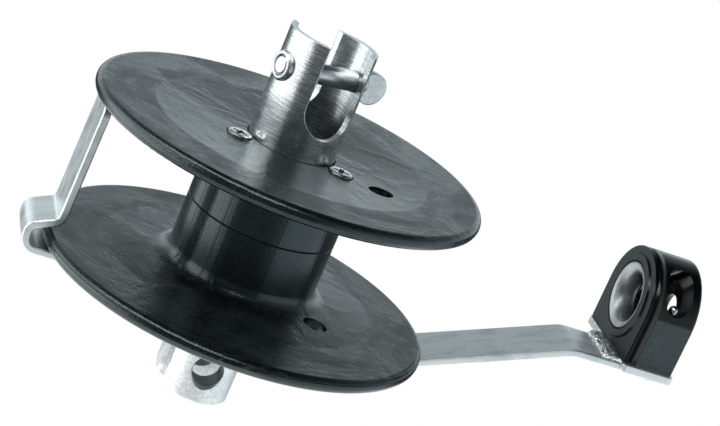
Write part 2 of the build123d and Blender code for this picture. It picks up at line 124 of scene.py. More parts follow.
class Tree:
    """A thin hand for laying shader nodes and linking them."""

    column_width: ClassVar[int] = 180

    def __init__(self, tree: bpy.types.NodeTree) -> None:
        """Starts from an empty tree.

        Args:
            tree: the node tree of a material, a world or a group.
        """
        self.tree = tree
        self.column = 0

    def add(self, kind: str, inputs: Mapping | None = None, **settings: object) -> bpy.types.Node:
        """Adds a node, sets it up and feeds its inputs.

        Args:
            kind: the node's type, such as ShaderNodeMath.
            inputs: what goes into each input, by name or number: a number, a colour or an output socket.
            settings: the node's own properties.

        Returns:
            The new node.
        """
        node = self.tree.nodes.new(kind)
        self.column += 1
        node.location = (self.column_width * self.column, 0)
        for name, value in settings.items():
            setattr(node, name, value)
        for name, value in (inputs or {}).items():
            socket = node.inputs[name]
            if isinstance(value, bpy.types.NodeSocket):
                self.tree.links.new(value, socket)
            else:
                socket.default_value = value
        return node

    def place(self) -> Socket:
        """Where the surface is, in the object's own coordinates."""
        return self.add("ShaderNodeTexCoord").outputs["Object"]

    def math(self, operation: str, *values: float | Socket) -> Socket:
        """Works one number out of others.

        Args:
            operation: the Math node's operation.
            values: numbers or output sockets, in the node's order.

        Returns:
            The result's socket.
        """
        return self.add("ShaderNodeMath", dict(enumerate(values)), operation=operation).outputs[0]

    def product(self, first: float | Socket, *others: float | Socket) -> Socket:
        """Multiplies numbers.

        Args:
            first: a number or an output socket.
            others: more of them.

        Returns:
            The product's socket.
        """
        for other in others:
            first = self.math("MULTIPLY", first, other)
        return first

    def vector(self, operation: str, *values: Triple | Socket) -> Socket:
        """Works one vector out of others.

        Args:
            operation: the Vector Math node's operation.
            values: vectors or output sockets, in the node's order.

        Returns:
            The result's socket.
        """
        node = self.add("ShaderNodeVectorMath", dict(enumerate(values)), operation=operation)
        return node.outputs["Vector"]

    def length(self, vector: Socket) -> Socket:
        """A vector's length."""
        return self.add("ShaderNodeVectorMath", {0: vector}, operation="LENGTH").outputs["Value"]

    def along(self, vector: Socket, direction: Vector) -> Socket:
        """How far a vector reaches in a direction."""
        inputs = {0: vector, 1: direction}
        return self.add("ShaderNodeVectorMath", inputs, operation="DOT_PRODUCT").outputs["Value"]

    def scaled(self, colour: Socket, level: Socket) -> Socket:
        """A colour made lighter or darker by a factor."""
        return self.add("ShaderNodeVectorMath", {0: colour, "Scale": level}, operation="SCALE").outputs[0]

    def split(self, vector: Socket) -> bpy.types.NodeOutputs:
        """The three parts of a vector."""
        return self.add("ShaderNodeSeparateXYZ", {0: vector}).outputs

    def ramp(
        self,
        value: Socket,
        low: float | Socket,
        high: float | Socket,
        start: float | Socket = 0.0,
        end: float | Socket = 1.0,
    ) -> Socket:
        """Turns a number's range into another, smoothly and with held ends.

        Args:
            value: the number's socket.
            low: where the ramp starts.
            high: where it ends.
            start: the result at and below low.
            end: the result at and above high.

        Returns:
            The result's socket.
        """
        inputs = {0: value, 1: low, 2: high, 3: start, 4: end}
        return self.add("ShaderNodeMapRange", inputs, interpolation_type="SMOOTHSTEP").outputs[0]

    def swing(self, value: Socket, amount: float, low: float = 0.0, high: float = 1.0) -> Socket:
        """Turns a pattern into a factor that swings about one.

        Args:
            value: the pattern's socket.
            amount: how far the factor swings each way.
            low: the pattern's value at the factor's lowest.
            high: the pattern's value at the factor's highest.

        Returns:
            The factor's socket.
        """
        return self.ramp(value, low, high, 1.0 - amount, 1.0 + amount)

    def mix(self, share: Socket, first: Colour | Socket, second: Colour | Socket) -> Socket:
        """Mixes two colours.

        Args:
            share: how much of the second.
            first: colour or socket.
            second: colour or socket.

        Returns:
            The mixed colour's socket.
        """
        return self.add("ShaderNodeMix", {0: share, 6: first, 7: second}, data_type="RGBA").outputs[2]

    def noise(
        self,
        vector: Socket,
        scale: float | Socket,
        detail: float,
        roughness: float = 0.5,
        swirl: float | Socket = 0.0,
    ) -> Socket:
        """Soft noise.

        Args:
            vector: where the surface is.
            scale: how fine the noise is.
            detail: how many finer layers it has.
            roughness: how strong they are.
            swirl: how much it is distorted.

        Returns:
            The noise's socket.
        """
        node = self.add("ShaderNodeTexNoise", {"Vector": vector, "Scale": scale, "Distortion": swirl})
        node.inputs["Detail"].default_value = detail
        node.inputs["Roughness"].default_value = roughness
        return node.outputs[0]

    def relief(self, height: Socket, depth: float, normal: Socket | None = None) -> Socket:
        """The normal of a surface with a relief on it.

        Args:
            height: the relief's height.
            depth: what a height of one is, in metres.
            normal: the surface's own normal, where something has eased it.

        Returns:
            The normal's socket.
        """
        inputs = {"Height": height, "Distance": depth, "Strength": 1.0}
        if normal is not None:
            inputs["Normal"] = normal
        return self.add("ShaderNodeBump", inputs).outputs[0]


class Bench:
    """The bench work that every modelled piece shares."""

    @staticmethod
    def take(name: str) -> bpy.types.Object:
        """Names the primitive just added and moves its place into its mesh.

        Args:
            name: the piece's name.

        Returns:
            The piece, alone selected and active.
        """
        piece = bpy.context.object
        piece.name = piece.data.name = name
        bpy.ops.object.transform_apply(location=True, rotation=True, scale=True)
        return piece

    @staticmethod
    def clear() -> None:
        """Leaves edit mode and deselects everything."""
        if bpy.context.mode != "OBJECT":
            bpy.ops.object.mode_set(mode="OBJECT")
        bpy.ops.object.select_all(action="DESELECT")

    @classmethod
    def only(cls, piece: bpy.types.Object) -> None:
        """Selects one piece alone and makes it active.

        Args:
            piece: the piece to work on.
        """
        cls.clear()
        piece.select_set(True)
        bpy.context.view_layer.objects.active = piece

    @classmethod
    def pick(cls, piece: bpy.types.Object, test: Callable[[bpy.types.MeshPolygon], bool]) -> None:
        """Opens a piece for editing with the faces that pass a test selected.

        Args:
            piece: the piece to edit.
            test: says whether a face is picked.
        """
        cls.only(piece)
        bpy.ops.object.mode_set(mode="EDIT")
        bpy.ops.mesh.select_mode(type="FACE")
        bpy.ops.mesh.select_all(action="DESELECT")
        bpy.ops.object.mode_set(mode="OBJECT")
        for face in piece.data.polygons:
            face.select = test(face)
        bpy.ops.object.mode_set(mode="EDIT")

    @staticmethod
    def done() -> None:
        """Leaves edit mode."""
        bpy.ops.object.mode_set(mode="OBJECT")

    @classmethod
    def modify(cls, piece: bpy.types.Object, kind: str, **settings: object) -> None:
        """Adds a modifier and applies it.

        Args:
            piece: the piece to change.
            kind: the modifier's type.
            settings: its values.
        """
        cls.only(piece)
        modifier = piece.modifiers.new(kind.lower(), kind)
        for name, value in settings.items():
            setattr(modifier, name, value)
        bpy.ops.object.modifier_apply(modifier=modifier.name)

    @classmethod
    def cut(cls, piece: bpy.types.Object, cutter: bpy.types.Object) -> None:
        """Takes a cutter's shape out of a piece and throws the cutter away.

        Args:
            piece: the piece to cut.
            cutter: the shape that goes.
        """
        cls.modify(piece, "BOOLEAN", operation="DIFFERENCE", solver="EXACT", object=cutter)
        bpy.data.objects.remove(cutter)

    @classmethod
    def join(cls, piece: bpy.types.Object, *others: bpy.types.Object) -> None:
        """Joins other meshes into a piece.

        Args:
            piece: the piece that stays.
            others: the ones that become part of it.
        """
        cls.only(piece)
        for other in others:
            other.select_set(True)
        bpy.ops.object.join()

    @classmethod
    def smooth(cls, piece: bpy.types.Object, angle: float = 32.0) -> None:
        """Shades a piece smooth, apart from its sharp edges.

        Args:
            piece: the piece.
            angle: the least angle of a sharp edge, in degrees.
        """
        cls.only(piece)
        bpy.ops.object.shade_smooth_by_angle(angle=math.radians(angle))

    @staticmethod
    def copy(master: bpy.types.Object, name: str, place: Matrix) -> bpy.types.Object:
        """Copies a piece, with a mesh of its own that is moved to another place.

        Args:
            master: the piece to copy.
            name: the copy's name.
            place: how its mesh is moved.

        Returns:
            The copy.
        """
        copied = bpy.data.objects.new(name, master.data.copy())
        bpy.context.scene.collection.objects.link(copied)
        copied.data.transform(place)
        return copied


class Effects:
    """Node groups that several finishes share, each built at its first use."""

    cloud_contrast: ClassVar[tuple[float, float]] = (0.36, 0.64)
    speckle_contrast: ClassVar[tuple[float, float]] = (0.3, 0.7)
    scratch_peaks: ClassVar[tuple[float, float]] = (0.66, 0.74)
    scratch_ways: ClassVar[tuple[tuple[float, float], ...]] = ((0.4, 26.0), (1.9, 34.0))

    @staticmethod
    def _group(
        name: str,
        inputs: Mapping[str, float],
        output: str,
        lay: Callable[[Tree, bpy.types.NodeOutputs], Socket],
    ) -> bpy.types.NodeTree:
        """Finds a group, or makes it at its first use.

        Args:
            name: the group's name.
            inputs: each number that goes in besides the place, with its usual value.
            output: the name of the number that comes out.
            lay: lays the group's nodes from what is given to it, and returns the result's socket.

        Returns:
            The group.
        """
        if name in bpy.data.node_groups:
            return bpy.data.node_groups[name]
        group = bpy.data.node_groups.new(name, "ShaderNodeTree")
        group.interface.new_socket("Vector", in_out="INPUT", socket_type="NodeSocketVector")
        for label, usual in inputs.items():
            socket = group.interface.new_socket(label, in_out="INPUT", socket_type="NodeSocketFloat")
            socket.default_value = usual
        group.interface.new_socket(output, in_out="OUTPUT", socket_type="NodeSocketFloat")
        hand = Tree(group)
        result = lay(hand, hand.add("NodeGroupInput").outputs)
        hand.add("NodeGroupOutput", {output: result})
        return group

    @staticmethod
    def _use(hand: Tree, group: bpy.types.NodeTree, vector: Socket, **values: float) -> Socket:
        """Puts a group into a material with its own values.

        Args:
            hand: the material's tree.
            group: the effect.
            vector: where the surface is.
            values: the group's numbers, by name.

        Returns:
            The effect's output.
        """
        return hand.add("ShaderNodeGroup", {"Vector": vector, **values}, node_tree=group).outputs[0]

    @classmethod
    def clouds(cls, hand: Tree, vector: Socket, scale: float, swirl: float) -> Socket:
        """Soft swirls, as a moulding's flow leaves on a flat face.

        Args:
            hand: the material's tree.
            vector: where the surface is.
            scale: how small the swirls are.
            swirl: how much they curl.

        Returns:
            The swirls, from 0 to 1.
        """

        def lay(inner: Tree, given: bpy.types.NodeOutputs) -> Socket:
            """Noise with its contrast raised."""
            noise = inner.noise(given["Vector"], given["Scale"], 5.0, 0.6, given["Swirl"])
            return inner.ramp(noise, *cls.cloud_contrast)

        group = cls._group("soft_clouds", {"Scale": 20.0, "Swirl": 2.0}, "Mask", lay)
        return cls._use(hand, group, vector, Scale=scale, Swirl=swirl)

    @classmethod
    def scratches(cls, hand: Tree, vector: Socket, scale: float, share: float) -> Socket:
        """Fine crossed scratches.

        Args:
            hand: the material's tree.
            vector: where the surface is.
            scale: how small they are.
            share: how clear the clearest one is.

        Returns:
            The scratches, 0 over most of the surface.
        """

        def lay(inner: Tree, given: bpy.types.NodeOutputs) -> Socket:
            """Two stretched noises across each other, of which only the peaks stay.

            Args:
                inner: the group's tree.
                given: what goes into the group.

            Returns:
                The scratches' socket.
            """
            masks = []
            for turn, stretch in cls.scratch_ways:
                turned = {
                    "Vector": given["Vector"],
                    "Rotation": (turn, turn * 1.7, turn * 0.6),
                    "Scale": (1.0, stretch, 1.0),
                }
                placed = inner.add("ShaderNodeMapping", turned).outputs[0]
                noise = inner.noise(placed, given["Scale"], 2.0, 0.6)
                masks.append(inner.ramp(noise, *cls.scratch_peaks))
            return inner.product(inner.math("MAXIMUM", *masks), given["Share"])

        group = cls._group("fine_scratches", {"Scale": 60.0, "Share": 0.5}, "Mask", lay)
        return cls._use(hand, group, vector, Scale=scale, Share=share)

    @classmethod
    def speckle(cls, hand: Tree, vector: Socket, scale: float) -> Socket:
        """Fine even grain.

        Args:
            hand: the material's tree.
            vector: where the surface is.
            scale: how fine it is.

        Returns:
            The grain, from 0 to 1 about a middle of a half.
        """

        def lay(inner: Tree, given: bpy.types.NodeOutputs) -> Socket:
            """Fine noise with its contrast raised."""
            noise = inner.noise(given["Vector"], given["Scale"], 2.0, 0.7)
            return inner.ramp(noise, *cls.speckle_contrast)

        return cls._use(hand, cls._group("fine_speckle", {"Scale": 1500.0}, "Mask", lay), vector, Scale=scale)

    @classmethod
    def lines(cls, hand: Tree, vector: Socket, scale: float) -> Socket:
        """Fine parallel tool lines, where the place given has been stretched one way.

        Args:
            hand: the material's tree.
            vector: where the surface is, stretched.
            scale: how fine they are.

        Returns:
            The lines' height, from 0 to 1.
        """

        def lay(inner: Tree, given: bpy.types.NodeOutputs) -> Socket:
            """Plain noise."""
            return inner.noise(given["Vector"], given["Scale"], 3.0, 0.7)

        return cls._use(hand, cls._group("tool_lines", {"Scale": 300.0}, "Height", lay), vector, Scale=scale)


@dataclass(frozen=True)
class Finish:
    """A finish with its material's name."""

    name: str

    def material(self) -> bpy.types.Material:
        """The material, made at its first use.

        Returns:
            The material.
        """
        if self.name in bpy.data.materials:
            return bpy.data.materials[self.name]
        made = bpy.data.materials.new(self.name)
        made.use_nodes = True
        made.node_tree.nodes.clear()
        hand = Tree(made.node_tree)
        end = hand.add("ShaderNodeOutputMaterial")
        shader = self.shader(hand)
        made.node_tree.links.new(shader.outputs[0], end.inputs["Surface"])
        return made

    def shader(self, hand: Tree) -> bpy.types.Node:
        """The material's last shader.

        Args:
            hand: the material's tree.

        Returns:
            The shader node.
        """
        raise NotImplementedError

    def dress(self, piece: bpy.types.Object) -> None:
        """Gives a piece this finish all over.

        Args:
            piece: a mesh object.
        """
        piece.data.materials.clear()
        piece.data.materials.append(self.material())
        for face in piece.data.polygons:
            face.material_index = 0


@dataclass(frozen=True)
class Steel(Finish):
    """Stainless steel, from satin to polished.

    Its colour carries painted shade: it is darker within a radius of an axis, which the shade axis leaves
    out by a zero, and below a height, standing in for the shade inside a bore or a recess.
    """

    level: float = 0.6
    tint: float = 0.04
    roughness: float = 0.25
    rough_swing: float = 0.5
    grain: Grain = Grain.PLAIN
    grain_scale: float = 260.0
    grain_height: float = 0.000012
    grain_colour: float = 0.12
    line_contrast: tuple[float, float] = (0.3, 0.7)
    mottle: float = 0.1
    mottle_scale: float = 90.0
    mottle_swirl: float = 0.6
    speckle: float = 0.15
    speckle_scale: float = 1900.0
    edge: float = 0.0006
    edge_samples: int = 4
    # Painted shade: darker inside a bore about an axis, and in a recess below a height.
    bore_shade_axis: Triple = (0.0, 0.0, 0.0)
    bore_shade_radius: float = 0.0
    bore_shade_level: float = 1.0
    bore_shade_fade: float = 0.0001
    recess_shade_height: float = 0.0
    recess_shade_level: float = 1.0
    recess_shade_fade: float = 0.0003

    def shader(self, hand: Tree) -> bpy.types.Node:
        """Satin metal with tool lines along its grain, fine speckle, a faint mottle, eased edges and painted
        shade in bores and recesses.

        Args:
            hand: the material's tree.

        Returns:
            The shader node.
        """
        place = hand.place()
        along = hand.add("ShaderNodeMapping", {"Vector": place, "Scale": self.grain.value}).outputs[0]
        lines = Effects.lines(hand, along, self.grain_scale)
        clouds = Effects.clouds(hand, place, self.mottle_scale, self.mottle_swirl)
        speckle = Effects.speckle(hand, place, self.speckle_scale)
        dark, light = self.level * (1.0 - self.mottle), self.level * (1.0 + self.mottle)
        dull = hand.mix(clouds, grey(dark, self.tint), grey(light, self.tint))
        marks = hand.swing(lines, self.grain_colour, *self.line_contrast)
        spots = hand.swing(speckle, self.speckle)
        # Painted shade inside a bore: darker within a radius of the shade axis.
        reach = hand.length(hand.vector("MULTIPLY", place, self.bore_shade_axis))
        inside = hand.ramp(reach, self.bore_shade_radius - self.bore_shade_fade, self.bore_shade_radius, self.bore_shade_level, 1.0)
        # Painted shade in a recess: darker below a height.
        height = hand.split(place)[2]
        below = hand.ramp(height, self.recess_shade_height - self.recess_shade_fade, self.recess_shade_height, self.recess_shade_level, 1.0)
        painted_shade = hand.product(inside, below)
        colour = hand.scaled(dull, hand.product(marks, spots, painted_shade))
        least = self.roughness * (1.0 - self.rough_swing / 2)
        rough = hand.math("MULTIPLY_ADD", lines, self.roughness * self.rough_swing, least)
        eased = hand.add("ShaderNodeBevel", {"Radius": self.edge}, samples=self.edge_samples).outputs[0]
        normal = hand.relief(lines, self.grain_height, eased)
        look = {"Base Color": colour, "Roughness": rough, "Metallic": 1.0, "Normal": normal}
        return hand.add("ShaderNodeBsdfPrincipled", look)


@dataclass(frozen=True)
class DrumMoulding(Finish):
    """The drum's black moulding, with flow swirls, a glossy dished middle, flatter rims and painted shade in
    its gaps.

    Heights are measured from the seam, either way, and radii from the drum's axis.
    """

    seam: float = lowest("drum_upper_half").z
    tube_radius: float = highest("rotor_tube").x
    rim: float = highest("drum_upper_half").x - 0.002
    wall_height: float = 0.0222
    hub_foot: float = 0.0275
    dish_foot: float = 0.023
    dish_rim: float = 0.0424
    foot_slope: float = 0.0699
    dish_slope: float = 0.0172
    rim_slope: float = -0.0527
    level: float = 0.002
    cloud_level: float = 0.026
    scratch_level: float = 0.11
    # The colour of the painted shade in the gaps.
    gap_shade_level: float = 0.001
    tint: float = 0.26
    cast: Colour = (0.84, 1.0, 1.05, 1.0)
    gloss: float = 0.78
    roughness: float = 0.31
    flow_smooths: float = 0.12
    flow_roughens: float = 0.1
    dish_roughness: float = 0.1
    dish_wear: float = 0.14
    hub_roughness: float = 0.18
    wall_fade: float = 0.0001
    ridge_fade: float = 0.0003
    hub_fade: float = 0.001
    # Where the painted shade lies at the tube's foot and along the seam.
    foot_shade_reach: float = 0.0005
    foot_shade_fade: float = 0.0001
    seam_shade_half_width: float = 0.00017
    seam_fade: float = 0.00003
    wave_height: float = 0.00016
    skin_height: float = 0.000015
    arc_density: float = 30.0
    arc_scale: float = 1.5
    arc_swirl: float = 0.6
    small_scale: float = 130.0
    small_swirl: float = 1.0
    small_share: float = 0.35
    flow_share: float = 0.85
    streak_density: float = 900.0
    streak_share: float = 0.25
    scratch_scale: float = 42.0
    scratch_share: float = 0.5
    speckle_scale: float = 2400.0
    speckle_swing: float = 0.9

    @staticmethod
    def polar(hand: Tree, flat: Socket, radius: Socket, density: float) -> Socket:
        """Coordinates that run round the drum's axis, so that a noise in them lies in arcs.

        Args:
            hand: the material's tree.
            flat: the place without its height.
            radius: its length.
            density: how much finer the noise is across than along.

        Returns:
            The coordinates.
        """
        around = hand.vector("NORMALIZE", flat)
        across = hand.add("ShaderNodeCombineXYZ", {2: hand.product(radius, density)}).outputs[0]
        return hand.vector("ADD", around, across)

    def dish(self, hand: Tree, radius: Socket, outside: Socket) -> Socket:
        """The dish in each flange: a shallow cone up to a soft ridge, and level from there to the rim.

        Args:
            hand: the material's tree.
            radius: distance from the drum's axis.
            outside: 1 on a flange's outer face and 0 on its inner face.

        Returns:
            The height over the solid's face, in metres.
        """
        foot = hand.product(hand.math("MINIMUM", radius, self.dish_foot), self.foot_slope)
        past_foot = hand.math("MAXIMUM", hand.math("SUBTRACT", radius, self.dish_foot), 0.0)
        cone = hand.product(hand.math("MINIMUM", past_foot, self.dish_rim - self.dish_foot), self.dish_slope)
        past_rim = hand.math("MAXIMUM", hand.math("SUBTRACT", radius, self.dish_rim), 0.0)
        inner = hand.math("ADD", foot, cone)
        rise = hand.math("ADD", inner, hand.product(past_rim, self.rim_slope))
        return hand.product(rise, hand.math("MULTIPLY_ADD", outside, 2.0, -1.0))

    def colour(self, hand: Tree, flow: Socket, streaks: Socket, speckle: Socket, scratches: Socket) -> Socket:
        """Near black, greyed by the flow's swirls and streaks, grained and scored.

        Args:
            hand: the material's tree.
            flow: the swirls.
            streaks: fine lines round the axis.
            speckle: the grain.
            scratches: the scratches.

        Returns:
            The colour.
        """
        marked = hand.math("MULTIPLY_ADD", streaks, self.streak_share, hand.product(flow, self.flow_share))
        plain = hand.mix(marked, grey(self.level, self.tint), grey(self.cloud_level, self.tint))
        grained = hand.scaled(plain, hand.swing(speckle, self.speckle_swing))
        return hand.mix(scratches, grained, grey(self.scratch_level, self.tint))

    def rough(self, hand: Tree, radius: Socket, outside: Socket, flow: Socket) -> Socket:
        """How rough the moulding is on its dish, its hub, its rim and elsewhere.

        Args:
            hand: the material's tree.
            radius: distance from the drum's axis.
            outside: 1 on a flange's outer face and 0 on its inner face.
            flow: the swirls.

        Returns:
            The roughness.
        """
        dish_end = (self.dish_rim - self.ridge_fade, self.dish_rim + self.ridge_fade)
        on_dish = hand.product(hand.ramp(radius, *dish_end, 1.0, 0.0), outside)
        smooth, coarse = self.roughness - self.flow_smooths, self.roughness + self.flow_roughens
        worn = hand.math("MULTIPLY_ADD", flow, self.dish_wear, self.dish_roughness)
        face = hand.ramp(on_dish, 0.0, 1.0, hand.ramp(flow, 0.0, 1.0, smooth, coarse), worn)
        hub_end = (self.hub_foot - self.hub_fade, self.hub_foot + self.hub_fade)
        inner = hand.ramp(radius, *hub_end, self.hub_roughness, face)
        hub = hand.ramp(outside, 0.0, 1.0, inner, face)
        return hand.ramp(radius, self.rim - self.ridge_fade, self.rim, hub, self.hub_roughness)

    def gap_shade_mask(self, hand: Tree, radius: Socket, from_seam: Socket) -> Socket:
        """Painted shade: dark lines in the gaps at the tube's foot and at the seam.

        Args:
            hand: the material's tree.
            radius: distance from the drum's axis.
            from_seam: distance from the seam.

        Returns:
            The painted shade's mask.
        """
        foot = self.tube_radius + self.foot_shade_reach
        tube_foot_shade = hand.ramp(radius, foot - self.foot_shade_fade, foot + self.foot_shade_fade, 1.0, 0.0)
        seam_end = (self.seam_shade_half_width - self.seam_fade, self.seam_shade_half_width + self.seam_fade)
        return hand.math("MAXIMUM", tube_foot_shade, hand.ramp(from_seam, *seam_end, 1.0, 0.0))

    def shader(self, hand: Tree) -> bpy.types.Node:
        """Black plastic whose gloss is clearest in the flanges' dished middle.

        Args:
            hand: the material's tree.

        Returns:
            The shader node.
        """
        place = hand.place()
        parts = hand.split(place)
        flat = hand.add("ShaderNodeCombineXYZ", {0: parts[0], 1: parts[1]}).outputs[0]
        radius = hand.length(flat)
        from_seam = hand.math("ABSOLUTE", hand.math("SUBTRACT", parts[2], self.seam))
        outside = hand.ramp(from_seam, self.wall_height - self.wall_fade, self.wall_height + self.wall_fade)
        arcs = self.polar(hand, flat, radius, self.arc_density)
        clouds = Effects.clouds(hand, arcs, self.arc_scale, self.arc_swirl)
        small_clouds = Effects.clouds(hand, place, self.small_scale, self.small_swirl)
        scratches = Effects.scratches(hand, place, self.scratch_scale, self.scratch_share)
        speckle = Effects.speckle(hand, place, self.speckle_scale)
        streaks = Effects.lines(hand, self.polar(hand, flat, radius, self.streak_density), 1.0)
        large = hand.product(clouds, 1.0 - self.small_share)
        flow = hand.math("MULTIPLY_ADD", small_clouds, self.small_share, large)
        # Painted shade in the gaps at the tube's foot and the seam.
        gap_shade = self.gap_shade_mask(hand, radius, from_seam)
        skin = self.colour(hand, flow, streaks, speckle, scratches)
        waves = hand.math("MULTIPLY_ADD", clouds, self.wave_height, hand.product(speckle, self.skin_height))
        form = hand.math("ADD", self.dish(hand, radius, outside), waves)
        return hand.add(
            "ShaderNodeBsdfPrincipled",
            {
                "Base Color": hand.mix(gap_shade, skin, grey(self.gap_shade_level)),
                "Roughness": hand.math("MAXIMUM", self.rough(hand, radius, outside, flow), gap_shade),
                "Normal": hand.relief(form, 1.0),
                "IOR": 1.5,
                "Specular IOR Level": self.gloss,
                "Specular Tint": self.cast,
            },
        )


@dataclass(frozen=True)
class BlockMoulding(Finish):
    """The fairlead block's plastic: glossy black where it is round, and matt on its flat faces, with a
    lighter grey painted on the flanks as their reflection.
    """

    seam: float = lowest("fairlead_body").x
    side: float = middle("fairlead_body").y
    half_width: float = highest("fairlead_body").y - middle("fairlead_body").y
    face_end: float = lowest("fairlead_cap").x + 0.0018
    ring_height: float = middle("fairlead_ferrule").z
    # Where the painted shade round the ferrule's rim lies.
    ring_radius: float = 0.0112
    ring_shade_half_width: float = 0.0003
    ring_shade_fade: float = 0.00005
    ridge: float = 0.0005
    ridge_foot: float = 0.0034
    ridge_top: float = 0.0018
    ridge_end: float = 0.0001
    seam_fade: float = 0.0002
    face_fade: float = 0.0001
    flank_depth: float = 0.00008
    flank_fade: float = 0.00004
    square_on: tuple[float, float] = (0.93, 0.97)
    gloss_level: float = 0.003
    face_level: float = 0.026
    # The flanks' lighter grey: a painted reflection.
    flank_sheen_level: float = 0.1
    scratch_level: float = 0.12
    # The colour of the painted shade in the gap round the ferrule.
    gap_shade_level: float = 0.001
    tint: float = 0.2
    matt_tint: float = 0.24
    gloss_roughness: float = 0.16
    gloss_wear: float = 0.08
    matt_roughness: float = 0.6
    skin_height: float = 0.000008
    cloud_scale: float = 60.0
    cloud_swirl: float = 1.0
    speckle_scale: float = 1800.0
    speckle_swing: float = 0.25
    scratch_scale: float = 55.0
    scratch_share: float = 0.4

    def matt_faces(self, hand: Tree, parts: bpy.types.NodeOutputs, before: Socket) -> tuple[Socket, Socket]:
        """Where the block is matt: on the flanks behind its seam, whose lighter grey is a painted reflection,
        and on its front face.

        Args:
            hand: the material's tree.
            parts: the place's three parts.
            before: 1 up to the end of the front face's step.

        Returns:
            The flanks' mask and the front face's mask.
        """
        facing = hand.split(hand.add("ShaderNodeTexCoord").outputs["Normal"])
        off_middle = hand.math("ABSOLUTE", hand.math("SUBTRACT", parts[1], self.side))
        skin = self.half_width - self.flank_depth
        flank = hand.ramp(off_middle, skin - self.flank_fade, skin + self.flank_fade)
        past_seam = hand.ramp(parts[0], self.seam - self.seam_fade, self.seam)
        ahead = hand.ramp(hand.product(facing[0], -1.0), *self.square_on)
        return hand.product(flank, past_seam), hand.product(ahead, before)

    def ring_gap_shade(self, hand: Tree, place: Socket, before: Socket) -> Socket:
        """Painted shade in the gap round the ferrule's rim.

        Args:
            hand: the material's tree.
            place: where the surface is.
            before: 1 up to the end of the front face's step.

        Returns:
            The painted shade's mask.
        """
        from_centre = hand.vector("SUBTRACT", place, (0.0, self.side, self.ring_height))
        radius = hand.length(hand.vector("MULTIPLY", from_centre, (0.0, 1.0, 1.0)))
        off_ring = hand.math("ABSOLUTE", hand.math("SUBTRACT", radius, self.ring_radius))
        width = (self.ring_shade_half_width - self.ring_shade_fade, self.ring_shade_half_width + self.ring_shade_fade)
        return hand.product(hand.ramp(off_ring, *width, 1.0, 0.0), before)

    def seam_ridge(self, hand: Tree, forward: Socket) -> Socket:
        """The raised band in front of the seam.

        Args:
            hand: the material's tree.
            forward: the place along the arm.

        Returns:
            The band's height, in metres.
        """
        rise = hand.ramp(forward, self.seam - self.ridge_foot, self.seam - self.ridge_top)
        fall = hand.ramp(forward, self.seam - self.ridge_top, self.seam - self.ridge_end, 1.0, 0.0)
        return hand.product(rise, fall, self.ridge)

    def shader(self, hand: Tree) -> bpy.types.Node:
        """Glossy black plastic with matt flats, a painted reflection on the flanks, painted shade round the
        ferrule and a few scratches.

        Args:
            hand: the material's tree.

        Returns:
            The shader node.
        """
        place = hand.place()
        parts = hand.split(place)
        before = hand.ramp(parts[0], self.face_end - self.face_fade, self.face_end, 1.0, 0.0)
        flank_matt_and_sheen, on_front = self.matt_faces(hand, parts, before)
        matt = hand.math("MAXIMUM", flank_matt_and_sheen, on_front)
        # Painted shade in the gap round the ferrule's rim.
        gap_shade = self.ring_gap_shade(hand, place, before)
        clouds = Effects.clouds(hand, place, self.cloud_scale, self.cloud_swirl)
        speckle = Effects.speckle(hand, place, self.speckle_scale)
        scratches = Effects.scratches(hand, place, self.scratch_scale, self.scratch_share)
        # The flanks' lighter grey is a painted reflection of the room; the front face keeps its own matt
        # grey.
        matt_colour_and_sheen = hand.mix(flank_matt_and_sheen, grey(self.face_level, self.matt_tint), grey(self.flank_sheen_level, self.matt_tint))
        skin = hand.scaled(matt_colour_and_sheen, hand.swing(speckle, self.speckle_swing))
        glossed = hand.mix(matt, grey(self.gloss_level, self.tint), skin)
        scored = hand.mix(hand.product(scratches, matt), glossed, grey(self.scratch_level, self.tint))
        worn = hand.ramp(clouds, 0.0, 1.0, self.gloss_roughness, self.gloss_roughness + self.gloss_wear)
        rough = hand.ramp(matt, 0.0, 1.0, worn, self.matt_roughness)
        height = hand.math("MULTIPLY_ADD", speckle, self.skin_height, self.seam_ridge(hand, parts[0]))
        return hand.add(
            "ShaderNodeBsdfPrincipled",
            {
                "Base Color": hand.mix(gap_shade, scored, grey(self.gap_shade_level)),
                "Roughness": hand.math("MAXIMUM", rough, gap_shade),
                "Normal": hand.relief(height, 1.0),
                "IOR": 1.5,
            },
        )


@dataclass(frozen=True)
class BearingPlastic(Finish):
    """Nylon or rubber inside the bearing."""

    colour: Triple = (0.7, 0.69, 0.65)
    roughness: float = 0.5
    mottle: float = 0.2
    mottle_scale: float = 600.0

    def shader(self, hand: Tree) -> bpy.types.Node:
        """A soft skin with a little mottle.

        Args:
            hand: the material's tree.

        Returns:
            The shader node.
        """
        skin = hand.noise(hand.place(), self.mottle_scale, 3.0)
        light = (*self.colour, 1.0)
        dark = (*(part * (1.0 - self.mottle) for part in self.colour), 1.0)
        look = {"Base Color": hand.mix(skin, dark, light), "Roughness": self.roughness}
        return hand.add("ShaderNodeBsdfPrincipled", look)


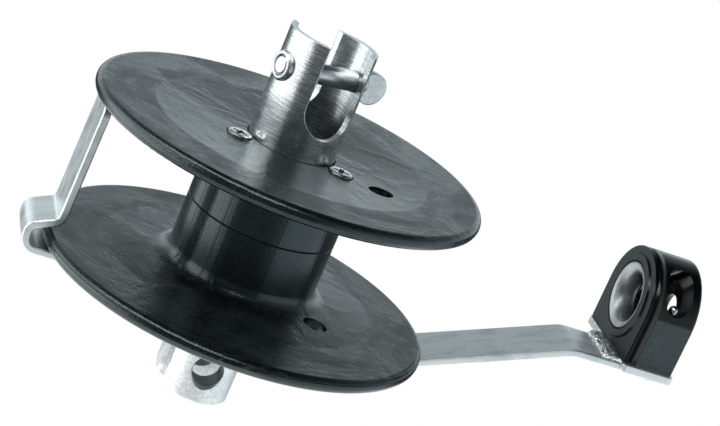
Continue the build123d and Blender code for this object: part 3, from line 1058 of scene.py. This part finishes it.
TURNED_STEEL = Steel(
    "turned_steel",
    level=0.74,
    roughness=0.25,
    grain=Grain.TURNED,
    grain_scale=2600.0,
    grain_colour=0.3,
    grain_height=0.000003,
    speckle=0.16,
    mottle=0.05,
    edge=0.0004,
    # Painted shade inside the tube's bore.
    bore_shade_axis=(1.0, 1.0, 0.0),
    bore_shade_radius=0.0128,
    bore_shade_level=0.8,
)
STEM_STEEL = Steel(
    "stem_steel",
    level=0.88,
    roughness=0.42,
    grain_scale=900.0,
    speckle=0.14,
    mottle=0.05,
    # Painted shade inside the clevis bore.
    bore_shade_axis=(1.0, 0.0, 1.0),
    bore_shade_radius=0.00495,
    bore_shade_level=0.2,
)
SCREW_STEEL = Steel(
    "screw_steel",
    level=0.8,
    roughness=0.24,
    grain_height=0.000003,
    edge=0.0001,
    # Painted shade in the heads' cross recess and on their sides, below the head's top.
    recess_shade_height=0.0725,
    recess_shade_level=0.2,
)
FERRULE_STEEL = Steel(
    "ferrule_steel", level=0.4, roughness=0.38, grain_height=0.000004, speckle=0.06, mottle=0.02
)
BAR_STEEL = Steel("bar_steel", level=0.97, roughness=0.38, grain=Grain.DRAWN, speckle=0.08)
POLISHED_STEEL = Steel("bright_steel", level=0.85, roughness=0.16, grain_height=0.000003)
PIN_STEEL = Steel("pin_steel", level=0.72, roughness=0.3, grain_height=0.000003, speckle=0.1)
WELD_METAL = Steel("rough_weld", level=0.85, roughness=0.3, grain_height=0.00006, edge=0.00005)
DRUM_PLASTIC = DrumMoulding("drum_moulding")
BLOCK_PLASTIC = BlockMoulding("block_moulding")
CAGE_NYLON = BearingPlastic("caged_nylon")
SEAL_RUBBER = BearingPlastic("sealing_rubber", colour=(0.03, 0.03, 0.03), roughness=0.7)


class SubAssembly:
    """A sub-assembly of the furler, with a finish for each of its nodes and the pieces that it adds."""

    finishes: ClassVar[Mapping[Finish, tuple[str, ...]]] = {}

    def dress(self) -> None:
        """Gives each of its nodes its finish."""
        for finish, nodes in self.finishes.items():
            for node in nodes:
                finish.dress(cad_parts[node])
                log.info("dressed %s with %s", node, finish.name)

    def build(self) -> None:
        """Models the pieces that it adds. Most sub-assemblies add none."""

    def fit(self, piece: bpy.types.Object, finish: Finish, body: Body, node: str, slot: str) -> None:
        """Dresses a finished piece and puts it in a node's stead.

        Args:
            piece: the piece.
            finish: its finish.
            body: the body that it rides on.
            node: the node that it stands for.
            slot: a slot name for its finish, not used.
        """
        finish.dress(piece)
        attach(piece, body.value)
        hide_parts(node)
        log.info("built %s", piece.name)


class Stem(SubAssembly):
    """The stem with its lower clevis, its tab washer and the nut that closes the bearing."""

    finishes = {
        STEM_STEEL: ("stem_fork",),
        BAR_STEEL: ("lock_washer",),
        POLISHED_STEEL: ("spindle_washer", "spindle_nut"),
    }


class Bearing(SubAssembly):
    """The two rows of caged balls with their races, spacers, circlip and seal."""

    finishes = {
        POLISHED_STEEL: (
            "lower_cone",
            "lower_cup",
            "lower_balls",
            "upper_cone",
            "upper_cup",
            "upper_balls",
            "bearing_circlip",
        ),
        TURNED_STEEL: ("inner_spacer", "outer_spacer"),
        CAGE_NYLON: ("lower_cage", "upper_cage"),
        SEAL_RUBBER: ("dust_seal",),
    }


class Rotor(SubAssembly):
    """The tube with the upper fork, its collar, and the pin with its bush."""

    finishes = {
        TURNED_STEEL: ("rotor_tube", "rotor_collar"),
        PIN_STEEL: ("upper_clevis_pin", "pin_bush"),
    }


@dataclass
class Drum(SubAssembly):
    """The drum's two mouldings, and the three cross-headed screws that clamp them."""

    finishes = {
        DRUM_PLASTIC: ("drum_upper_half", "drum_lower_half"),
        POLISHED_STEEL: ("drum_screws", "drum_nuts"),
    }

    circle: float = 0.018
    first_angle: float = -42.0
    count: int = 3
    sides: int = 48
    head_radius: float = 0.00375
    head_height: float = 0.00135
    head_round: float = 0.00085
    seat_drop: float = 0.002
    shank_radius: float = 0.00175
    cross_length: float = 0.006
    cross_width: float = 0.0018
    cross_depth: float = 0.0014
    cross_taper: float = 0.62
    first_cross_turn: float = 0.4
    cross_turn_step: float = 0.9

    def screw(self) -> bpy.types.Object:
        """One screw on the drum's axis, at its height.

        Returns:
            The screw.
        """
        foot, top = lowest("drum_screws").z, highest("drum_screws").z
        seat = top - self.seat_drop
        Bench.clear()
        bpy.ops.mesh.primitive_cylinder_add(
            vertices=self.sides,
            radius=self.head_radius,
            depth=self.head_height,
            location=(0, 0, seat + self.head_height / 2),
        )
        screw = Bench.take("drum_screw")
        Bench.pick(screw, looks_up)
        bpy.ops.mesh.bevel(offset=self.head_round, segments=6, affect="EDGES")
        Bench.pick(screw, looks_down)
        bpy.ops.mesh.inset(thickness=self.head_radius - self.shank_radius)
        bpy.ops.mesh.extrude_region_move(TRANSFORM_OT_translate={"value": (0, 0, foot - seat)})
        Bench.done()
        for width, length in ((self.cross_width, self.cross_length), (self.cross_length, self.cross_width)):
            Bench.cut(screw, self.cross_bar(seat + self.head_height, width, length))
        Bench.smooth(screw)
        return screw

    def cross_bar(self, top: float, width: float, length: float) -> bpy.types.Object:
        """One bar of the cross recess, as a cutter that tapers downwards.

        Args:
            top: the head's top.
            width: its size along X.
            length: its size along Y.

        Returns:
            The cutter.
        """
        size = (width, length, 2 * self.cross_depth)
        Bench.clear()
        bpy.ops.mesh.primitive_cube_add(size=1.0, location=(0, 0, top), scale=size)
        bar = Bench.take("cross_cutter")
        Bench.pick(bar, looks_down)
        taper = (self.cross_taper, self.cross_taper, 1.0)
        bpy.ops.transform.resize(value=taper, center_override=(0, 0, top))
        Bench.done()
        return bar

    def build(self) -> None:
        """Makes the screws and puts them on their circle, each with its cross turned its own way."""
        master = self.screw()
        for number in range(self.count):
            angle = math.radians(self.first_angle + 360 / self.count * number)
            cross_turn = self.first_cross_turn + self.cross_turn_step * number
            on_circle = Matrix.Rotation(angle, 4, "Z") @ Matrix.Translation((self.circle, 0, 0))
            place = on_circle @ Matrix.Rotation(cross_turn, 4, "Z")
            screw = Bench.copy(master, f"drum_screw_{number + 1}", place)
            self.fit(screw, SCREW_STEEL, Body.DRUM, "drum_screws", "fastener_steel")
        bpy.data.objects.remove(master)


@dataclass
class Fairlead(SubAssembly):
    """The fairlead block with its ferrule, and the two domed bolts that stand up through its legs."""

    finishes = {
        BLOCK_PLASTIC: ("fairlead_cap", "fairlead_body"),
        FERRULE_STEEL: ("fairlead_ferrule",),
        POLISHED_STEEL: ("fairlead_bolts",),
    }

    sides: int = 40
    radius: float = 0.0016
    rise: float = 0.0009
    dome_share: float = 0.97
    head_radius: float = 0.0028
    head_height: float = 0.0016
    head_round: float = 0.0002
    inset: float = 0.0028

    def bolt(self) -> bpy.types.Object:
        """One bolt at the arm's middle, at its height.

        Returns:
            The bolt.
        """
        across = middle("fairlead_bolts").x
        foot = lowest("fairlead_bolts").z
        seat = lowest("fairlead_plate").z
        top = highest("fairlead_bolts").z + self.rise
        Bench.clear()
        bpy.ops.mesh.primitive_cylinder_add(
            vertices=self.sides, radius=self.radius, depth=top - seat, location=(across, 0, (top + seat) / 2)
        )
        bolt = Bench.take("fairlead_bolt")
        Bench.pick(bolt, looks_up)
        bpy.ops.mesh.bevel(offset=self.radius * self.dome_share, segments=8, affect="EDGES")
        Bench.clear()
        bpy.ops.mesh.primitive_cylinder_add(
            vertices=6,
            radius=self.head_radius,
            depth=self.head_height,
            location=(across, 0, foot + self.head_height / 2),
        )
        head = Bench.take("fairlead_bolt_head")
        Bench.modify(head, "BEVEL", width=self.head_round, segments=2)
        Bench.join(bolt, head)
        Bench.smooth(bolt)
        return bolt

    def build(self) -> None:
        """Makes one bolt and sets a copy at each side of the block."""
        master = self.bolt()
        places = (lowest("fairlead_bolts").y + self.inset, highest("fairlead_bolts").y - self.inset)
        for number, side in enumerate(places):
            bolt = Bench.copy(master, f"fairlead_bolt_{number + 1}", Matrix.Translation((0, side, 0)))
            self.fit(bolt, POLISHED_STEEL, Body.MOUNTING, "fairlead_bolts", "fastener_steel")
        bpy.data.objects.remove(master)


@dataclass
class GuardArm(SubAssembly):
    """The bent strap with its arm, and the plate that a rough bead of weld joins to it."""

    finishes = {
        BAR_STEEL: ("guard_strap", "fairlead_plate"),
        WELD_METAL: ("weld_bead",),
    }

    bead_width: float = 0.0062
    bead_rise: float = 0.0017
    bead_setback: float = 0.0004
    end_gap: float = 0.0003
    grid: float = 0.00022
    ripple_size: float = 0.0013
    ripple_height: float = 0.0011
    pit_size: float = 0.0004
    pit_height: float = 0.0004
    joint_width: float = 0.00078
    joint_setback: float = 0.00003
    joint_drop: float = 0.0001
    joint_round: float = 0.00015

    def bead(self, centre: Vector, length: float) -> bpy.types.Object:
        """The bead on the arm: a low rib, gridded finely and roughened.

        Args:
            centre: the middle of its foot.
            length: how far it runs across the arm.

        Returns:
            The bead.
        """
        Bench.clear()
        bpy.ops.mesh.primitive_cylinder_add(
            vertices=32,
            radius=self.bead_width / 2,
            depth=length,
            location=centre,
            rotation=(math.pi / 2, 0, 0),
        )
        bead = Bench.take("arm_weld")
        Bench.pick(bead, lambda face: True)
        flat = 2 * self.bead_rise / self.bead_width
        bpy.ops.transform.resize(value=(1.0, 1.0, flat), center_override=centre)
        bpy.ops.mesh.bisect(plane_co=centre, plane_no=(0, 0, -1), use_fill=True, clear_outer=True)
        Bench.done()
        Bench.modify(bead, "REMESH", mode="VOXEL", voxel_size=self.grid)
        self.roughen(bead, "ripple", self.ripple_size, self.ripple_height)
        self.roughen(bead, "pit", self.pit_size, self.pit_height)
        return bead

    def roughen(self, bead: bpy.types.Object, name: str, size: float, height: float) -> None:
        """Displaces the bead by a soft noise.

        Args:
            bead: the bead.
            name: the noise's name.
            size: how large its lumps are.
            height: how high they are.
        """
        texture = bpy.data.textures.new(name, "CLOUDS")
        texture.noise_scale = size
        texture.noise_depth = 2
        Bench.modify(bead, "DISPLACE", texture=texture, strength=height, texture_coords="LOCAL")

    def joint(self, centre: Vector, length: float, thickness: float) -> bpy.types.Object:
        """The filler between the arm's end and the plate.

        Args:
            centre: its middle.
            length: how far it runs across the arm.
            thickness: the bar's thickness.

        Returns:
            The filler.
        """
        size = Vector((self.joint_width, length, thickness - self.joint_drop))
        Bench.clear()
        bpy.ops.mesh.primitive_cube_add(size=1.0, location=centre, scale=size)
        joint = Bench.take("arm_weld_joint")
        Bench.modify(joint, "BEVEL", width=self.joint_round, segments=2)
        return joint

    def build(self) -> None:
        """Makes the weld: the bead, and the filler under it."""
        low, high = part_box("weld_bead")
        arm_top = highest("fairlead_plate").z
        thickness = arm_top - lowest("fairlead_plate").z
        across = (low.y + high.y) / 2
        length = high.y - low.y - 2 * self.end_gap
        foot = Vector((high.x - self.bead_setback - self.bead_width / 2, across, arm_top))
        inside = Vector((high.x - self.joint_width / 2 - self.joint_setback, across, arm_top - thickness / 2))
        weld = self.bead(foot, length)
        Bench.join(weld, self.joint(inside, length, thickness))
        Bench.smooth(weld, 60.0)
        self.fit(weld, WELD_METAL, Body.MOUNTING, "weld_bead", "weld_metal")


@dataclass(frozen=True)
class Fade:
    """A smooth change of light: where it starts and ends, and the light at each end."""

    low: float
    high: float
    start: float
    end: float

    def at(self, hand: Tree, value: Socket) -> Socket:
        """The light at a value."""
        return hand.ramp(value, self.low, self.high, self.start, self.end)


@dataclass(frozen=True)
class Lamp:
    """A soft lamp: its turn and rise from the camera, in degrees, its size and its power in watts."""

    name: str
    turn: float
    rise: float
    size: tuple[float, float]
    power: float


@dataclass
class Studio:
    """Camera, lamps, floor and background.

    The room that reflections show is described by where a direction points: its height, how far it
    comes back to the camera and how far it goes to the camera's right.
    """

    view_turn: float = math.radians(-18.5)
    view_rise: float = math.radians(17.0578)
    view_roll: float = math.radians(-23.2465)
    distance: float = 0.5895133
    slide_right: float = 0.0261637
    slide_up: float = -0.0120767
    lens: float = 101.11
    sensor: float = 36.0
    clip: tuple[float, float] = (0.01, 50.0)
    floor_drop: float = 0.25
    floor_radius: float = 0.6
    floor_sides: int = 96
    floor_level: float = 0.85
    target: Triple = (0.03, 0.0, 0.05)
    lamp_reach: float = 0.9
    lamps: tuple[Lamp, ...] = (
        Lamp("key", -76.0, 6.0, (1.3, 1.1), 5.8),
        Lamp("top", -36.0, 56.0, (1.3, 0.26), 4.0),
    )
    wall: Fade = Fade(0.22, 0.36, 0.95, 0.4)
    ceiling: Fade = Fade(0.5, 0.8, 1.0, 0.05)
    front_edge: Fade = Fade(0.0, 0.2, 0.3, 0.55)
    front_width: float = 0.35
    front_level: float = 0.12
    beside: Fade = Fade(0.3, 0.9, 1.0, 0.7)
    far_floor: Fade = Fade(-0.65, -0.45, 0.1, 1.0)
    right_floor: Fade = Fade(0.3, 0.7, 1.0, 1.25)
    floor_edge: tuple[float, float] = (-0.12, -0.04)
    room_tint: float = 0.13

    def axes(self) -> tuple[Vector, Vector, Vector]:
        """The level view's own directions.

        Returns:
            Right, up, and back towards the camera.
        """
        turn, rise = self.view_turn, self.view_rise
        back = Vector((math.sin(turn) * math.cos(rise), -math.cos(turn) * math.cos(rise), math.sin(rise)))
        right = Vector((math.cos(turn), math.sin(turn), 0.0))
        return right, back.cross(right), back

    def level_axes(self) -> tuple[Vector, Vector]:
        """Right, and back to the camera along the ground."""
        right, _, back = self.axes()
        return right, Vector((back.x, back.y, 0.0)).normalized()

    def camera(self) -> None:
        """Puts the camera at the photograph's place."""
        right, up, back = self.axes()
        aim = Vector((0.0, 0.0, highest("drum_upper_half").z))
        data = bpy.data.cameras.new("camera")
        data.lens = self.lens
        data.sensor_width = self.sensor
        data.clip_start, data.clip_end = self.clip
        camera = bpy.data.objects.new("camera", data)
        bpy.context.scene.collection.objects.link(camera)
        across = math.cos(self.view_roll) * right - math.sin(self.view_roll) * up
        upward = math.sin(self.view_roll) * right + math.cos(self.view_roll) * up
        turned = Matrix((across, upward, back)).transposed().to_4x4()
        place = aim + right * self.slide_right + up * self.slide_up + back * self.distance
        camera.matrix_world = Matrix.Translation(place) @ turned
        bpy.context.scene.camera = camera

    def light(self, lamp: Lamp) -> None:
        """Hangs one lamp, turned to the target.

        Args:
            lamp: the lamp.
        """
        right, back = self.level_axes()
        turn, rise = math.radians(lamp.turn), math.radians(lamp.rise)
        level = back * math.cos(turn) + right * math.sin(turn)
        outward = level * math.cos(rise) + Vector((0, 0, math.sin(rise)))
        data = bpy.data.lights.new(lamp.name, "AREA")
        data.shape = "RECTANGLE"
        data.size, data.size_y = lamp.size
        data.energy = lamp.power
        hung = bpy.data.objects.new(lamp.name, data)
        bpy.context.scene.collection.objects.link(hung)
        place = Matrix.Translation(Vector(self.target) + outward * self.lamp_reach)
        hung.matrix_world = place @ outward.to_track_quat("Z", "Y").to_matrix().to_4x4()

    def room(self, hand: Tree) -> Socket:
        """The pale room's light, which fades overhead, in front, beside the camera and under the far side.

        Args:
            hand: the world's tree.

        Returns:
            The light's strength.
        """
        way = hand.add("ShaderNodeTexCoord").outputs["Generated"]
        right, back = self.level_axes()
        height = hand.split(way)[2]
        forward = hand.along(way, back)
        sideways = hand.along(way, right)
        walls = hand.product(self.wall.at(hand, height), self.ceiling.at(hand, height))
        edge = self.front_edge.at(hand, sideways)
        front = hand.ramp(forward, edge, hand.math("ADD", edge, self.front_width), 1.0, self.front_level)
        ground = hand.product(self.far_floor.at(hand, forward), self.right_floor.at(hand, sideways))
        under = hand.ramp(height, *self.floor_edge, ground, 1.0)
        return hand.product(walls, hand.product(front, self.beside.at(hand, sideways), under))

    def world(self) -> None:
        """White behind the object, and the pale room for reflections and light."""
        world = bpy.data.worlds.new("studio")
        bpy.context.scene.world = world
        world.use_nodes = True
        world.node_tree.nodes.clear()
        hand = Tree(world.node_tree)
        end = hand.add("ShaderNodeOutputWorld")
        path = hand.add("ShaderNodeLightPath").outputs
        seen = hand.math("MAXIMUM", path["Is Camera Ray"], path["Is Transmission Ray"])
        light = hand.add("ShaderNodeMix", {0: seen, 2: self.room(hand), 3: 1.0}).outputs[0]
        tint = hand.mix(seen, grey(1.0, self.room_tint), grey(1.0))
        sky = hand.add("ShaderNodeBackground", {"Color": tint, "Strength": light})
        hand.tree.links.new(sky.outputs[0], end.inputs["Surface"])

    def floor(self) -> None:
        """A round pale floor well under the object, which keeps its shadow and melts into the white."""
        place = (0, 0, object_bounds()[0].z - self.floor_drop)
        Bench.clear()
        bpy.ops.mesh.primitive_circle_add(
            vertices=self.floor_sides, radius=self.floor_radius, fill_type="NGON", location=place
        )
        floor = Bench.take("floor")
        made = bpy.data.materials.new("pale_floor")
        made.use_nodes = True
        made.node_tree.nodes.clear()
        hand = Tree(made.node_tree)
        end = hand.add("ShaderNodeOutputMaterial")
        path = hand.add("ShaderNodeLightPath").outputs
        straight = hand.math("MAXIMUM", path["Is Camera Ray"], path["Is Transmission Ray"])
        seen = hand.math("MAXIMUM", straight, path["Is Glossy Ray"])
        paint = hand.add("ShaderNodeBsdfDiffuse", {"Color": grey(self.floor_level)})
        strength = hand.product(seen, self.floor_level)
        glow = hand.add("ShaderNodeEmission", {"Color": grey(1.0), "Strength": strength})
        both = hand.add("ShaderNodeAddShader", {0: paint.outputs[0], 1: glow.outputs[0]})
        made.node_tree.links.new(both.outputs[0], end.inputs["Surface"])
        floor.data.materials.append(made)
        floor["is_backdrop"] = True

    def build(self) -> None:
        """Sets up the whole studio."""
        bpy.context.scene.view_settings.view_transform = "Standard"
        self.camera()
        self.world()
        self.floor()
        for lamp in self.lamps:
            self.light(lamp)
        log.info("set up the studio with %d lamps", len(self.lamps))


def main() -> None:
    """Builds the scene in order and reports each piece."""
    logging.basicConfig(level=logging.INFO)
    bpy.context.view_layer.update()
    for sub_assembly in (Stem(), Bearing(), Rotor(), Drum(), Fairlead(), GuardArm()):
        sub_assembly.dress()
        sub_assembly.build()
    Studio().build()


if __name__ == "__main__":
    main()
